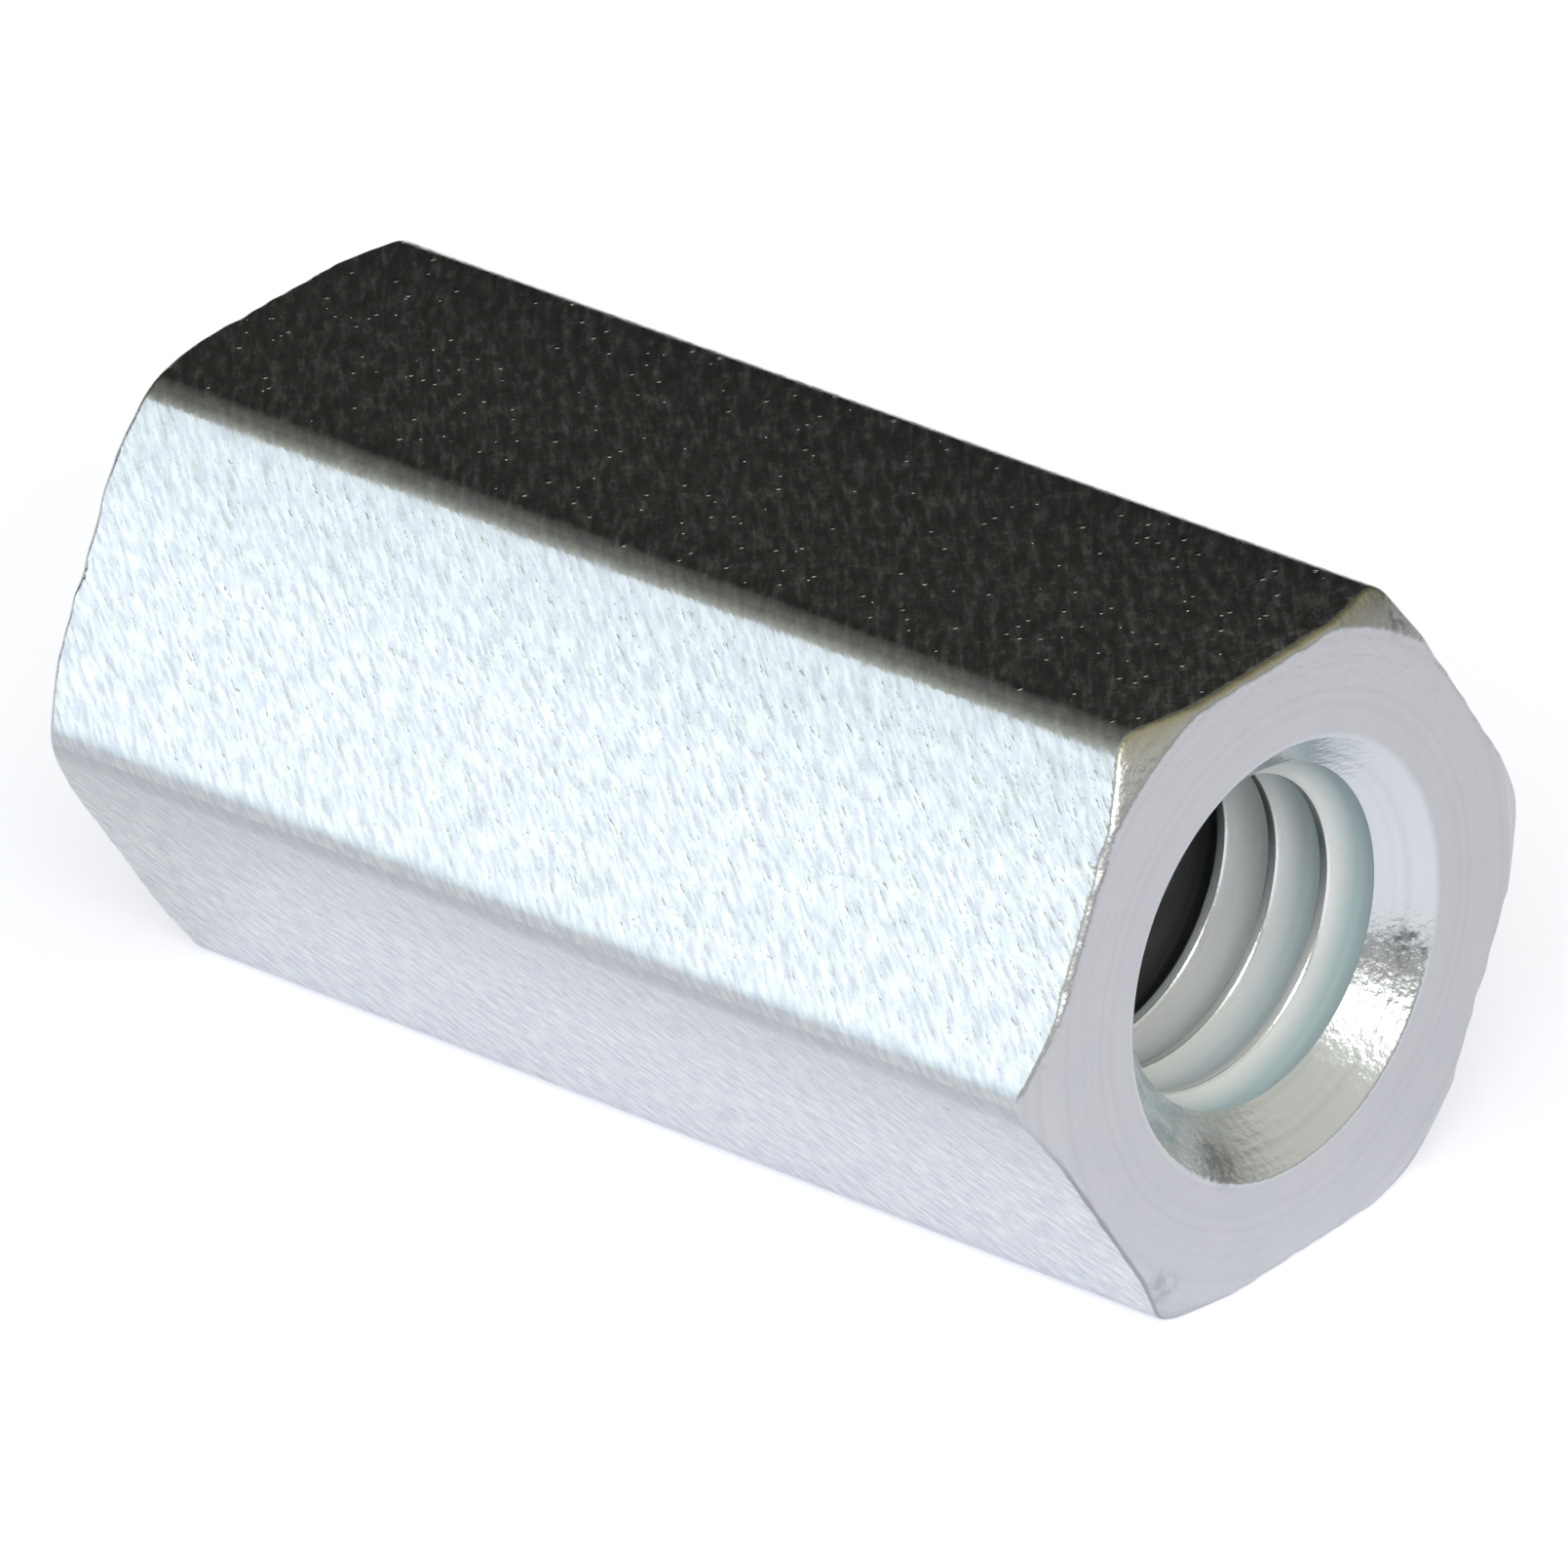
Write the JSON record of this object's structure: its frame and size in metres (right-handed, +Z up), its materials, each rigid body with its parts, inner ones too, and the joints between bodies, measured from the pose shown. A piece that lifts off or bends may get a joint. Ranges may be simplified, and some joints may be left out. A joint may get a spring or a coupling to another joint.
{
  "type": "hex standoff",
  "caption": "Female to female hexagonal spacer, threaded right through, with countersunk and chamfered ends, lying on one of its flats.",
  "frame": {"origin": "centre of the body, on the axis of the threaded bore at mid-length", "axes": "+X along the bore, out of the end that the picture shows; +Z up, normal to the upper flat; the standoff lies on the flat that faces -Z"},
  "size_m": [0.02, 0.0112, 0.01],
  "materials": {
    "zinc_plated_steel": "bright zinc plate with a faint bluish passivation, over drawn flats and turned ends"
  },
  "bodies": {
    "root": {"hex_standoff": "zinc_plated_steel"}
  },
  "joints": []
}
